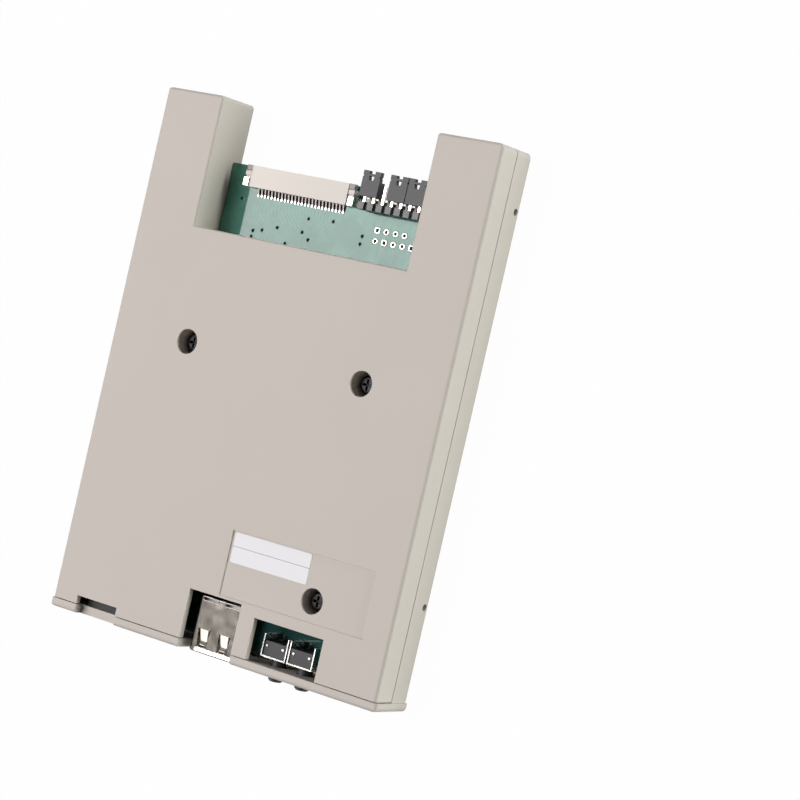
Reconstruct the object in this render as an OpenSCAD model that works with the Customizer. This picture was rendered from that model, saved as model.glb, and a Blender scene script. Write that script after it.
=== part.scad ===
/* [Case] */
// Width of the casing across its side walls
case_w = 96; // [92:0.5:104]
// Depth of the casing from the bezel joint to the rear ends
case_d = 126.9; // [122:0.5:136]
// Height of the casing
case_h = 12.7; // [12.3:0.1:16]
// Height of the joint between the two shells
split_z = 6; // [5.6:0.1:6.6]
// Thickness of the base floor
floor_t = 1; // [0.8:0.1:1.2]
// Thickness of the roof
roof_t = 1.4; // [1:0.1:1.6]
// Thickness of the top shell's walls
wall_t = 1.6; // [1.2:0.1:2]
// Thickness of the locating lip on the base
lip_t = 0.8; // [0.6:0.1:1]
// Height of the locating lip above the joint
lip_h = 1.2; // [0.8:0.1:1.6]
// Open line between the two shells
joint_gap = 0.2; // [0.1:0.05:0.3]
// Radius of the upright rear corners
corner_r = 1.4; // [0.6:0.1:2]
// Radius of the top edges
edge_r = 0.8; // [0.4:0.1:1]

/* [Bezel] */
// Thickness of the bezel
bezel_t = 2.1; // [1.6:0.1:3]
// How far the bezel stands proud of each side wall
bezel_proud = 0.5; // [0.3:0.1:1]
// Radius of the bezel's upright front corners
bezel_r = 1.3; // [0.6:0.1:1.5]
// Radius of the bezel's top edges
bezel_edge_r = 0.8; // [0.4:0.1:1.2]
// Radius of the socket notch's corners at the bezel's face
socket_notch_r = 0.6; // [0.3:0.1:1]
// Distance of the display notch from the left side wall
display_side = 7.3; // [6.6:0.1:8]
// Width of the display notch
display_slot_w = 12.4; // [11.6:0.1:13]
// Depth of the notch in the bezel's top edge
display_notch_h = 2.4; // [2:0.1:3]
// Rear edge of the slot in the roof above the display
display_slot_y = 2.2; // [1.8:0.1:2.6]

/* [Rear notch] */
// Width of the notch between the two ears
notch_w = 61.5; // [60:0.1:62.4]
// Middle of the notch
notch_x = -0.25; // [-1:0.05:1]
// Depth of the notch from the rear ends
notch_d = 31.7; // [30:0.1:33]
// Radius of the notch's corners at the rear ends
notch_r = 1; // [0.4:0.1:1.2]
// Radius of the notch's top edges
notch_edge_r = 0.5; // [0.3:0.1:0.9]
// How far the base floor reaches into the notch
floor_reach = 9; // [7:0.5:11]

/* [Case screws] */
// Bore of the screw wells in the roof
well_d = 6; // [5.6:0.1:6.6]
// Wall around each screw well
well_wall = 1.2; // [0.8:0.1:1.5]
// Depth of the screw seats below the roof
seat_depth = 4.6; // [4.2:0.1:5.4]
// Thickness of the seat that the screw heads rest on
seat_t = 1.3; // [1:0.1:1.5]
// Diameter of the screw shank
screw_d = 2.2; // [1.8:0.1:2.4]
// Diameter of the screw head
screw_head_d = 4.8; // [4:0.1:5.2]
// Height of the screw head
screw_head_h = 1.9; // [1.6:0.1:2.2]
// Diameter of the posts that take the screws
boss_d = 6.4; // [5.6:0.1:7]
// Distance of the side screws from the middle
screw_x = 25.4; // [24:0.1:27]
// Distance of the rear pair of screws from the bezel joint
screw_rear_y = 68; // [62:0.5:72]
// Distance of the front screw from the bezel joint
screw_front_y = 17.5; // [17:0.1:19]

/* [Side mounting holes] */
// Radius of the side mounting holes
side_hole_r = 0.8; // [0.7:0.05:1]
// Depth of the side mounting holes
side_hole_l = 4.5; // [3.5:0.1:5]
// Height of the side mounting holes
side_hole_z = 1.2; // [1.2:0.1:2.2]
// Front side hole from the bezel joint
side_hole_front_y = 22.1; // [20:0.1:26]
// Distance between the two holes of a side
side_hole_pitch = 91.2; // [88:0.1:94]

/* [Roof details] */
// Left end of the label recess
recess_lo = 0; // [-2:0.1:1]
// Width of the label recess
recess_w = 41; // [38:0.5:44]
// Front edge of the label recess
recess_y = 12.7; // [11:0.1:13]
// Length of the label recess
recess_l = 15.4; // [14:0.1:18]
// Depth of the label recess
recess_depth = 0.3; // [0.2:0.05:0.5]
// Left end of the switch window
window_lo = 11.3; // [10:0.1:12]
// Width of the switch window
window_w = 19.7; // [19:0.1:22]
// Rear edge of the switch window
window_y = 10; // [9:0.1:11]

/* [Board] */
// Thickness of the circuit board
board_t = 1.2; // [0.8:0.1:1.6]
// Height of the board's underside
board_z = 2.2; // [2:0.1:2.4]
// Gap between the board and the walls
board_gap = 0.3; // [0.2:0.1:0.5]
// How far the board's rear edge reaches into the notch
board_tail = 17.2; // [17:0.1:18]
// Diameter of the posts under the board
post_d = 4; // [3:0.1:5]
// Diameter of the small plated holes
via_d = 0.8; // [0.4:0.1:1]
// Diameter of the holes in the solder pads
pad_hole_d = 0.8; // [0.7:0.1:1.2]

/* [USB socket] */
// Middle of the socket
usb_x = -0.7; // [-2:0.1:1]
// Width of the socket's shell
usb_w = 13.1; // [12.9:0.1:13.4]
// Height of the socket's shell
usb_h = 5.8; // [5.6:0.1:6]
// Height of the shell's lower face above the board
usb_lift = 0.35; // [0.2:0.05:0.6]
// Rear end of the shell from the bezel joint
usb_l = 10.95; // [10:0.05:12]
// Thickness of the shell's sheet metal
usb_sheet = 0.3; // [0.2:0.05:0.4]
// Room around the socket in the casing
usb_room = 1.1; // [0.5:0.1:1.4]

/* [Switches] */
// Middle of the left switch
left_switch_x = 16.55; // [15.5:0.05:16.8]
// Distance between the two switches
switch_pitch = 7.55; // [7.4:0.05:8]
// Height of the button axis above the board
button_lift = 3.1; // [3.05:0.05:3.3]
// Diameter of a button
button_d = 3.5; // [3:0.1:3.8]
// Gap around a button
button_gap = 0.3; // [0.2:0.05:0.4]
// How far a button stands out of the bezel
button_reach = 1.5; // [1:0.1:2]
// Travel of a button
button_travel = 0.25; // [0.15:0.05:0.3]
// Side of the square switch body
switch_body_w = 6; // [5.6:0.1:6.2]
// Depth of the switch body
switch_body_l = 3.5; // [3.2:0.1:4]
// Thickness of the bracket's sheet metal
bracket_t = 0.35; // [0.2:0.05:0.4]
// Outer width of the bracket
bracket_w = 7.1; // [6.9:0.1:7.3]
// Length of the bracket's side plates
bracket_l = 5.4; // [5:0.1:6]
// Front face of the bracket from the bezel joint
bracket_y = 1.65; // [1.3:0.05:2]

/* [Ribbon connector] */
// Number of contacts
ffc_count = 26; // [20:1:30]
// Contact pitch
ffc_pitch = 1; // [0.8:0.05:1]
// Share of the notch's free width left of the connector
ffc_share = 0.5422; // [0.5:0.01:0.6]
// Depth of the housing
ffc_l = 5.1; // [4.9:0.1:5.4]
// Height of the housing
ffc_h = 2.5; // [2.3:0.1:2.8]
// Length of the housing beyond the outer contacts
ffc_end = 1.65; // [1.4:0.05:2]
// Reach of the metal tabs beyond the housing's ends
ffc_tab = 2.5; // [2.2:0.1:3]
// Travel of the lock bar
lock_travel = 1.5; // [1:0.1:2]

/* [Jumper header] */
// Pin pitch
header_pitch = 2.54; // [2.5:0.01:2.54]
// Share of the notch's free width right of the header
header_share = 0.2342; // [0.2:0.01:0.3]
// Depth of the insulator
header_l = 1.8; // [1.8:0.1:2.2]
// Side of the square pins
pin_t = 0.6; // [0.5:0.02:0.64]
// Length of the pins behind the insulator
pin_l = 4.5; // [4.2:0.1:4.7]
// Width of a jumper cap
cap_w = 4.9; // [4.8:0.05:4.95]
// Length of a jumper cap
cap_l = 6; // [5.6:0.1:6.4]
// Thickness of a jumper cap
cap_t = 2.4; // [2.2:0.05:2.5]
// Gap between the insulator and the caps
cap_gap = 1.3; // [1:0.1:1.6]

/* [Hidden] */
$fn = 48;
arc_steps = 5;
over = 0.5;
skin = 0.05;

// Case levels and edges
half_w = case_w / 2;
bezel_half = half_w + bezel_proud;
inner_z = case_h - roof_t;
base_wall = wall_t + joint_gap + lip_t;
notch_lo = notch_x - notch_w / 2;
notch_hi = notch_x + notch_w / 2;
notch_y = case_d - notch_d;
floor_end_y = notch_y + floor_reach;
middle_y = (case_d - bezel_t) / 2;
screw_spots = [
    [-screw_x, screw_rear_y],
    [screw_x, screw_rear_y],
    [screw_x, screw_front_y]
];
screw_core_gap = 0.05;
screw_hole_gap = 0.3;
screw_tip_gap = 0.3;
core_z = floor_t + 0.4;
screw_dome_r = 1;
cross_l = 2.6;
cross_w = 0.6;
cross_depth = 1;
side_boss_w = 5;
side_boss_h = 4;
side_boss_end = 0.9;
side_boss_l = side_hole_l + side_boss_end;
side_hole_rear_y = side_hole_front_y + side_hole_pitch;

// Board levels and edges
board_top = board_z + board_t;
seat_z = case_h - seat_depth;
boss_top = seat_z - seat_t;
board_front = 1;
post_end = 12;
board_half = half_w - side_boss_l - board_gap;
board_waist_y = notch_y - wall_t - joint_gap - board_gap;
board_rear = notch_y + board_tail;
board_lo = notch_lo + board_gap;
board_hi = notch_hi - board_gap;
curtain_gap = 0.4;
curtain_z = board_top + curtain_gap;
pad_inset = 11.85;
pad_front_y = board_rear - pad_inset;
pad_columns = [5, 4];
via_spots = [
    [-25.7, 8.1], [-20.4, 15.1], [-17.8, 14.6], [-13.6, 13.3],
    [-20.5, 16.6], [-10.4, 16.6], [1.9, 9.3], [10.7, 11.3],
    [10.6, 13.2], [-5.2, 9.8], [-6.2, 13.2], [-4.1, 14.7]
];

// USB levels
usb_z = board_top + usb_lift;
usb_top = usb_z + usb_h;
usb_front = -bezel_t;
usb_lo = usb_x - usb_w / 2;
usb_hi = usb_x + usb_w / 2;
usb_r = 0.7;
usb_tab_w = 1.5;
usb_tab_spots = [2, 7];
finger_root_y = 3.3;
finger_tip_y = -0.5;
finger_bend = 1;
finger_shift = 0.3;
finger_w = 2.6;
finger_taper = 0.4;
finger_slit = 0.4;
finger_dip = 0.7;
finger_offset = 3;
insulator_l = 2.2;
insulator_y = usb_l - usb_sheet - insulator_l;
tongue_drop = 1.35;
tongue_t = 1.6;
tongue_w = 11;
tongue_tip_y = -0.8;
tongue_top = usb_top - usb_sheet - tongue_drop;
tongue_z = tongue_top - tongue_t;
usb_contact_w = 1;
usb_contact_t = 0.25;
usb_contact_spots = [-3.5, -1, 1, 3.5];

// Switch levels
button_z = board_top + button_lift;
button_tip_y = -bezel_t - button_reach;
bracket_rise = 0.2;
bracket_top = button_z + switch_body_w / 2 + bracket_rise;
bracket_foot_l = 1.4;
bracket_lift = 0.5;
body_y = bracket_y + bracket_t;
body_z = button_z - switch_body_w / 2;
body_back = body_y + switch_body_l;
bore_d = button_d + 2 * button_gap;
button_chamfer = 0.4;
flange_ledge = 0.55;
flange_d = button_d + 2 * flange_ledge;
flange_t = 0.6;
flange_bore_d = flange_d + 2 * button_gap;
stem_step = 0.5;
stem_l = 0.9;
dome_t = 0.2;
dome_gap = 0.05;
flange_y = body_y + skin;
button_end_y = flange_y + flange_t + stem_l;
dome_y = button_end_y + button_travel + skin;
leg_x = 2.25;
leg_w = 0.7;
leg_t = 0.25;
leg_root = 1;
leg_rise = 0.8;
leg_foot = 1.2;
leg_z = body_z + leg_rise;

// Display levels
display_slot_lo = display_side - half_w;
display_slot_hi = display_slot_lo + display_slot_w;
display_gap = 0.3;
display_bar = 1;
display_top = case_h - display_notch_h - display_bar;
display_lo = display_slot_lo + display_gap;
display_hi = display_slot_hi - display_gap;
display_face_y = -1.2;
display_l = 6;
display_lip = 0.5;
display_frame_h = 0.5;
display_sink = 0.2;
display_leads_n = 6;
display_lead_w = 0.5;
display_lead_t = 0.4;
display_lead_h = 3.2;
display_lead_out = 0.5;
display_lead_foot = 1.8;
display_lead_end = 1.2;
display_lead_step = (display_hi - display_lo - 2 * display_lead_end) / (display_leads_n - 1);

// Connectors side by side in the notch
header_columns = 7;
ffc_half = (ffc_count - 1) * ffc_pitch / 2 + ffc_end;
notch_room = notch_w - 2 * (ffc_half + ffc_tab) - header_columns * header_pitch;
ffc_x = notch_lo + ffc_share * notch_room + ffc_tab + ffc_half;
header_x = notch_hi - header_share * notch_room - (header_columns - 0.5) * header_pitch;
pad_shift = 2.75;
pad_x = header_x + pad_shift;

// Ribbon connector levels
ffc_front = board_rear - ffc_l;
ffc_top = board_top + ffc_h;
ffc_plate = 0.6;
ffc_wall = 0.8;
ffc_slot_z = board_top + ffc_plate;
ffc_slot_top = ffc_top - ffc_plate;
ffc_slot_l = 3.6;
ffc_groove_w = 0.44;
ffc_groove_end = 1.2;
ffc_groove_l = 0.4;
ffc_groove_top = ffc_top - 0.9;
ffc_contact_w = 0.34;
ffc_contact_t = 0.25;
ffc_contact_z = board_top + 0.4;
ffc_contact_end = 1.4;
ffc_slope = 1.3;
ffc_tail = 1.9;
ffc_lug = 1.6;
ffc_lug_l = 2.6;
tab_t = 0.3;
tab_y = ffc_front + 0.1;
tab_l = 2;
tab_lo = ffc_half + 0.5;
tab_hi = ffc_half + ffc_lug + skin + tab_t;
lock_t = 0.6;
lock_gap = 0.3;
lock_z = ffc_slot_top - skin - lock_t;
lock_tip_y = board_rear - ffc_slot_l + 0.5;
lock_bar_l = 1.2;
lock_ear_w = 1.6;
lock_ear_top = ffc_top - 0.1;

// Jumper header levels
row_low_z = board_top + header_pitch / 2;
row_high_z = row_low_z + header_pitch;
header_set = 5.5;
header_y = board_rear - header_set;
header_back = header_y + header_l;
header_chamfer = 0.45;
board_ledge = 1.1;
board_step_y = header_back + board_ledge;
board_step_gap = 0.6;
board_step_x = ffc_x + ffc_half + ffc_tab + board_step_gap;
pin_inset = 0.2;
pin_tip = header_back + pin_l;
cap_y = header_back + cap_gap;
cap_columns = [0, 3, 5];
grip_l = 2.3;
grip_t = 1.1;
grip_head_l = 1.05;
grip_neck_l = 0.5;
grip_neck = 0.25;
grip_gap_w = 1.6;
grip_gap_l = 0.65;
grip_hole_end = 1.2;
grip_hole_l = 1;
grip_hole_w = 1.45;
grip_hole_taper = 0.2;
socket_w = 3.9;
socket_h = 1.5;
socket_wall = 0.3;
socket_l = cap_l - grip_l - socket_wall;
clip_t = 0.2;
clip_gap = 0.1;
clip_front = 0.4;

// Colours of the finishes
shell_color = [0.79, 0.76, 0.72];
board_color = [0.20, 0.42, 0.34];
nickel_color = [0.80, 0.79, 0.76];
black_color = [0.16, 0.16, 0.17];
cream_color = [0.93, 0.89, 0.85];
gold_color = [0.82, 0.70, 0.42];

// A block between two opposite corners
module block(lo, hi) translate(lo) cube(hi - lo);

// The part stands with the middle of its base at the origin
module seat() translate([0, -middle_y, 0]) children();

// A plan outline drawn upwards from a height to another
module rise(z0, z1) translate([0, 0, z0]) linear_extrude(z1 - z0) children();

// A front outline, x across and z up, drawn from front to rear
module along_y(y0, y1) translate([0, y1, 0]) rotate([90, 0, 0]) linear_extrude(y1 - y0) children();

// A side outline, y across and z up, drawn from left to right
module along_x(x0, x1) translate([x0, 0, 0]) rotate([90, 0, 90]) linear_extrude(x1 - x0) children();

// A round bar along y at a place in front view
module bar_y(x, z, d, y0, y1) translate([x, y0, z]) rotate([-90, 0, 0]) cylinder(d = d, h = y1 - y0);

// A quarter arc that starts at an angle
function arc(c, r, a) = [for (i = [0 : arc_steps]) let (t = a + 90 * i / arc_steps) c + r * [cos(t), sin(t)]];

// A rectangle with round corners
function round_rect(lo, hi, r) = concat(
    arc(hi - [r, r], r, 0),
    arc([lo[0] + r, hi[1] - r], r, 90),
    arc(lo + [r, r], r, 180),
    arc([hi[0] - r, lo[1] + r], r, 270)
);

// Plan of the casing behind the bezel, with round rear corners
function case_plan(y0) = concat(
    [[-half_w, y0], [half_w, y0]],
    arc([half_w - corner_r, case_d - corner_r], corner_r, 0),
    arc([corner_r - half_w, case_d - corner_r], corner_r, 90)
);

// Outline of a notch with round corners at its mouth
function notch_plan(x0, x1, root, mouth, r) = let (s = sign(mouth - root)) concat(
    [[x1, root], [x0, root]],
    [for (p = arc([x0 - r, -r], r, 0)) [p[0], mouth + s * p[1]]],
    [[x0 - r, mouth + s * over], [x1 + r, mouth + s * over]],
    [for (p = arc([x1 + r, -r], r, 90)) [p[0], mouth + s * p[1]]]
);

// Front view of a shell with round top edges
function front_view(half, r) = concat(
    [[-half, 0], [half, 0]],
    arc([half - r, case_h - r], r, 0),
    arc([r - half, case_h - r], r, 90)
);

// Side view of the casing, with a round top edge at the rear
function case_side(y0) = concat(
    [[y0, 0], [case_d, 0]],
    arc([case_d - edge_r, case_h - edge_r], edge_r, 0),
    [[y0, case_h]]
);

// The outer form of the casing between two heights
module case_form(y0, z0, z1) intersection() {
    rise(z0, z1) polygon(case_plan(y0));
    along_y(y0, case_d) polygon(front_view(half_w, edge_r));
    along_x(-half_w, half_w) polygon(case_side(y0));
}

module bottom_shell() color(shell_color) seat() difference() {
    union() {
        base_tray();
        bezel();
        locating_lip();
        for (p = screw_spots) translate([p[0], p[1], floor_t - skin]) {
            cylinder(d = boss_d, h = boss_top - floor_t + skin);
        }
        for (p = board_posts()) translate([p[0], p[1], floor_t - skin]) {
            cylinder(d = post_d, h = board_z - floor_t + skin);
        }
        for (s = [-1, 1], y = [side_hole_front_y, side_hole_rear_y]) side_boss(s, y);
    }
    for (p = screw_spots) translate([p[0], p[1], core_z]) {
        cylinder(d = screw_d + 2 * screw_core_gap, h = boss_top);
    }
    for (s = [-1, 1], y = [side_hole_front_y, side_hole_rear_y]) {
        translate([s * (half_w + over), y, side_hole_z]) rotate([0, -90 * s, 0]) {
            cylinder(r = side_hole_r, h = side_hole_l + over);
        }
    }
}

// Floor and lower walls, cut away for the notch and the top shell's notch walls
module base_tray() difference() {
    case_form(-skin, 0, split_z - joint_gap / 2);
    block([base_wall - half_w, -over, floor_t], [half_w - base_wall, case_d - base_wall, case_h]);
    block(
        [notch_lo - wall_t - joint_gap, floor_end_y, -over],
        [notch_hi + wall_t + joint_gap, case_d + over, case_h]
    );
    for (x = [notch_lo - wall_t - joint_gap, notch_hi - joint_gap]) {
        block(
            [x, notch_y - wall_t - joint_gap, -over],
            [x + wall_t + 2 * joint_gap, floor_end_y + over, case_h]
        );
    }
}

// The rim that stands inside the top shell's side walls
module locating_lip() for (s = [-1, 1]) {
    x = s * (half_w - wall_t - joint_gap - lip_t / 2);
    block(
        [x - lip_t / 2, wall_t, floor_t],
        [x + lip_t / 2, case_d - base_wall, split_z + lip_h]
    );
}

// Support posts of the board: a pair at the front, in the middle and before the notch
function board_posts() = [
    for (s = [-1, 1], y = [post_end, notch_y / 2, notch_y - post_end]) [s * (board_half - post_d), y]
];

module side_boss(s, y) {
    x0 = min(s * half_w, s * (half_w - side_boss_l)) + (s < 0 ? wall_t : 0);
    block([x0, y - side_boss_w / 2, 0], [x0 + side_boss_l - wall_t, y + side_boss_w / 2, side_boss_h]);
}

// Outlines of the front plate from above and from its end
function bezel_plan() = concat(
    [[bezel_half, 0], [-bezel_half, 0]],
    arc([bezel_r - bezel_half, bezel_r - bezel_t], bezel_r, 180),
    arc([bezel_half - bezel_r, bezel_r - bezel_t], bezel_r, 270)
);
function bezel_side() = concat(
    [[-bezel_t, 0], [0, 0], [0, case_h]],
    arc([bezel_edge_r - bezel_t, case_h - bezel_edge_r], bezel_edge_r, 90)
);

// Front plate with the socket notch, the button holes and the display window
module bezel() difference() {
    intersection() {
        rise(0, case_h) polygon(bezel_plan());
        along_y(-bezel_t, 0) polygon(front_view(bezel_half, bezel_edge_r));
        along_x(-bezel_half, bezel_half) polygon(bezel_side());
    }
    rise(usb_z - joint_gap, case_h + over) {
        polygon(notch_plan(usb_lo - usb_room, usb_hi + usb_room, over, -bezel_t, socket_notch_r));
    }
    for (i = [0, 1]) bar_y(left_switch_x + i * switch_pitch, button_z, bore_d, -bezel_t - over, over);
    block(
        [display_slot_lo, -bezel_t - over, case_h - display_notch_h],
        [display_slot_hi, over, case_h + over]
    );
    block(
        [display_lo - display_gap / 2, display_face_y - skin, board_top + display_gap],
        [display_hi + display_gap / 2, over, display_top + display_gap / 2]
    );
    block(
        [display_lo + display_lip, -bezel_t - over, board_top + 2 * display_lip],
        [display_hi - display_lip, over, display_top - display_lip]
    );
}

module top_shell() color(shell_color) seat() difference() {
    union() {
        difference() {
            case_form(joint_gap, split_z + joint_gap / 2, case_h);
            block([wall_t - half_w, -over, 0], [half_w - wall_t, notch_y - wall_t, inner_z]);
            block([wall_t - half_w, 0, 0], [notch_lo - wall_t, case_d - wall_t, inner_z]);
            block([notch_hi + wall_t, 0, 0], [half_w - wall_t, case_d - wall_t, inner_z]);
        }
        for (x = [notch_lo - wall_t, notch_hi]) {
            block([x, notch_y - wall_t, 0], [x + wall_t, case_d, split_z + over]);
        }
        block([notch_lo, notch_y - wall_t, curtain_z], [notch_hi, notch_y, split_z + over]);
        for (p = screw_spots) translate([p[0], p[1], boss_top]) {
            cylinder(d = well_d + 2 * well_wall, h = inner_z + skin - boss_top);
        }
    }
    notch_cut();
    for (p = screw_spots) translate([p[0], p[1], 0]) {
        cylinder(d = screw_d + 2 * screw_hole_gap, h = case_h);
        translate([0, 0, seat_z]) cylinder(d = well_d, h = case_h);
    }
    block(
        [recess_lo, recess_y, case_h - recess_depth],
        [recess_lo + recess_w, recess_y + recess_l, case_h + over]
    );
    block([window_lo, joint_gap, inner_z - over], [window_lo + window_w, window_y, case_h + over]);
    block(
        [usb_lo - usb_room, -over, split_z],
        [usb_hi + usb_room, usb_l + usb_room, case_h + over]
    );
    block(
        [display_slot_lo, -over, inner_z - over],
        [display_slot_hi, display_slot_y, case_h + over]
    );
}

// The rear notch: one flared outline rounds its top edges in two views and its rear corners in plan
module notch_cut() {
    intersection() {
        along_y(notch_y - notch_edge_r, case_d + over) {
            polygon(notch_plan(notch_lo, notch_hi, -over, case_h, notch_edge_r));
        }
        along_x(-half_w, half_w) polygon(notch_plan(notch_y, case_d + over, -over, case_h, notch_edge_r));
    }
    rise(-over, case_h + over) {
        polygon(notch_plan(notch_lo, notch_hi, case_d - 2 * notch_r, case_d, notch_r));
    }
}

// Pan-head screws with a cross recess
module case_screws() color(black_color) seat() for (p = screw_spots) translate([p[0], p[1], 0]) {
    translate([0, 0, seat_z]) difference() {
        rotate_extrude() polygon(concat(
            [[0, 0], [screw_head_d / 2, 0]],
            arc([screw_head_d / 2 - screw_dome_r, screw_head_h - screw_dome_r], screw_dome_r, 0),
            [[0, screw_head_h]]
        ));
        for (a = [0, 90]) rotate(a) block(
            [-cross_l / 2, -cross_w / 2, screw_head_h - cross_depth],
            [cross_l / 2, cross_w / 2, screw_head_h + over]
        );
    }
    translate([0, 0, core_z + screw_tip_gap]) {
        cylinder(d = screw_d, h = seat_z + skin - core_z - screw_tip_gap);
    }
}

module circuit_board() color(board_color) seat() difference() {
    rise(board_z, board_top) polygon([
        [-board_half, board_front],
        [board_half, board_front],
        [board_half, board_waist_y],
        [board_hi, board_waist_y],
        [board_hi, board_step_y],
        [board_step_x, board_step_y],
        [board_step_x, board_rear],
        [board_lo, board_rear],
        [board_lo, board_waist_y],
        [-board_half, board_waist_y]
    ]);
    for (p = screw_spots) translate([p[0], p[1], 0]) cylinder(d = boss_d + 2 * board_gap, h = case_h);
    for (j = [0, 1], i = [0 : pad_columns[j] - 1]) {
        translate([pad_x + i * header_pitch, pad_front_y + j * header_pitch, 0]) {
            cylinder(d = pad_hole_d, h = case_h);
        }
    }
    for (p = via_spots) translate([notch_x + p[0], board_rear - p[1], 0]) cylinder(d = via_d, h = case_h);
}

// Folded sheet-metal shell with two spring fingers in its top and tabs on the board
module usb_shell() color(nickel_color) seat() {
    difference() {
        along_y(usb_front, usb_l) {
            polygon(round_rect([usb_lo, usb_z], [usb_hi, usb_top], usb_r));
        }
        along_y(usb_front - over, usb_l - usb_sheet) polygon(round_rect(
            [usb_lo + usb_sheet, usb_z + usb_sheet],
            [usb_hi - usb_sheet, usb_top - usb_sheet],
            usb_r - usb_sheet
        ));
        for (s = [-1, 1]) rise(usb_top - usb_r, usb_top + over) polygon(finger_plan(s, finger_slit));
        for (s = [-1, 1]) {
            x = usb_x + s * usb_w / 4;
            block(
                [x - usb_w / 6, usb_l - 3 * usb_sheet, usb_top - usb_sheet - over],
                [x + usb_w / 6, usb_l - usb_sheet, usb_top + over]
            );
        }
    }
    for (s = [-1, 1]) intersection() {
        rise(usb_z, usb_top + over) polygon(finger_plan(s, 0));
        along_x(usb_lo, usb_hi) polygon([
            [finger_root_y + over, usb_top],
            [finger_root_y, usb_top],
            [finger_tip_y + finger_bend, usb_top - finger_dip],
            [finger_tip_y, usb_top - finger_dip / 2],
            [finger_tip_y, usb_top - finger_dip / 2 - usb_sheet],
            [finger_tip_y + finger_bend, usb_top - finger_dip - usb_sheet],
            [finger_root_y, usb_top - usb_sheet],
            [finger_root_y + over, usb_top - usb_sheet]
        ]);
    }
    for (x = [usb_lo, usb_hi - usb_sheet], y = usb_tab_spots) {
        block([x, y, board_top], [x + usb_sheet, y + usb_tab_w, usb_z + usb_r]);
    }
}

// Plan of one spring finger, widened by the slit beside it
function finger_plan(s, slit) = let (x = usb_x + s * finger_offset - finger_shift, w = finger_w / 2 + slit) [
    [x - w, finger_root_y + (slit > 0 ? 0 : over)],
    [x - w + finger_taper, finger_tip_y - slit],
    [x + w - finger_taper, finger_tip_y - slit],
    [x + w, finger_root_y + (slit > 0 ? 0 : over)]
];

// Moulded rear block with the tongue that carries the contacts
module usb_insulator() color([0.92, 0.92, 0.9]) seat() {
    block(
        [usb_lo + 2 * usb_sheet, insulator_y, usb_z + usb_sheet],
        [usb_hi - 2 * usb_sheet, insulator_y + insulator_l, usb_top - 2 * usb_sheet - finger_dip]
    );
    difference() {
        block(
            [usb_x - tongue_w / 2, tongue_tip_y, tongue_z],
            [usb_x + tongue_w / 2, insulator_y + over, tongue_top]
        );
        for (d = usb_contact_spots) block(
            [usb_x + d - usb_contact_w / 2 - skin, tongue_tip_y / 2, 0],
            [usb_x + d + usb_contact_w / 2 + skin, usb_l, tongue_z + skin + usb_contact_t]
        );
    }
}

// Four flat contacts under the tongue
module usb_contacts() color(gold_color) seat() for (d = usb_contact_spots) block(
    [usb_x + d - usb_contact_w / 2, 0, tongue_z + skin],
    [usb_x + d + usb_contact_w / 2, insulator_y, tongue_z + skin + usb_contact_t]
);

module switch_body(x) color(black_color) seat() difference() {
    block(
        [x - switch_body_w / 2, body_y, body_z],
        [x + switch_body_w / 2, body_back, body_z + switch_body_w]
    );
    bar_y(x, button_z, flange_bore_d, body_y - over, dome_y + dome_t);
    for (s = [-1, 1]) block(
        [x + s * leg_x - leg_w / 2 - skin, body_back - leg_root, 0],
        [x + s * leg_x + leg_w / 2 + skin, body_back + over, leg_z]
    );
}

// Sheet-metal U around the switch body, its side plates standing on the board
module switch_bracket(x) color(nickel_color) seat() difference() {
    block([x - bracket_w / 2, bracket_y, board_top], [x + bracket_w / 2, bracket_y + bracket_l, bracket_top]);
    block(
        [x - bracket_w / 2 + bracket_t, body_y, 0],
        [x + bracket_w / 2 - bracket_t, bracket_y + bracket_l + over, case_h]
    );
    block(
        [x - bracket_w / 2 - over, bracket_y - over, 0],
        [x + bracket_w / 2 + over, bracket_y + bracket_l - bracket_foot_l, board_top + bracket_lift]
    );
    bar_y(x, button_z, bore_d, bracket_y - over, body_y + over);
}

// Two solder legs at the rear of the switch body
module switch_terminals(x) color(nickel_color) seat() for (s = [-1, 1]) {
    along_x(x + s * leg_x - leg_w / 2, x + s * leg_x + leg_w / 2) polygon([
        [body_back - leg_root, leg_z],
        [body_back + leg_t, leg_z],
        [body_back + leg_t, board_top + leg_t],
        [body_back + leg_foot, board_top + leg_t],
        [body_back + leg_foot, board_top],
        [body_back, board_top],
        [body_back, leg_z - leg_t],
        [body_back - leg_root, leg_z - leg_t]
    ]);
}

// Snap disc that gives the button its click
module switch_dome(x) color(nickel_color) seat() translate([x, dome_y, button_z]) rotate([-90, 0, 0]) {
    cylinder(d = flange_bore_d - 2 * dome_gap, h = dome_t);
}

// Round plunger with a flange that the bracket holds back
module switch_button(x) color(black_color) seat() {
    translate([x, button_tip_y, button_z]) rotate([-90, 0, 0]) rotate_extrude() polygon([
        [0, 0],
        [button_d / 2 - button_chamfer, 0],
        [button_d / 2, button_chamfer],
        [button_d / 2, flange_y - button_tip_y],
        [flange_d / 2, flange_y - button_tip_y],
        [flange_d / 2, flange_y + flange_t - button_tip_y],
        [button_d / 2 - stem_step, flange_y + flange_t - button_tip_y],
        [button_d / 2 - stem_step, button_end_y - button_tip_y],
        [0, button_end_y - button_tip_y]
    ]);
}

right_switch_x = left_switch_x + switch_pitch;
module left_switch_body() switch_body(left_switch_x);
module right_switch_body() switch_body(right_switch_x);
module left_switch_bracket() switch_bracket(left_switch_x);
module right_switch_bracket() switch_bracket(right_switch_x);
module left_switch_terminals() switch_terminals(left_switch_x);
module right_switch_terminals() switch_terminals(right_switch_x);
module left_switch_dome() switch_dome(left_switch_x);
module right_switch_dome() switch_dome(right_switch_x);
module left_button() switch_button(left_switch_x);
module right_button() switch_button(right_switch_x);

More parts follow.
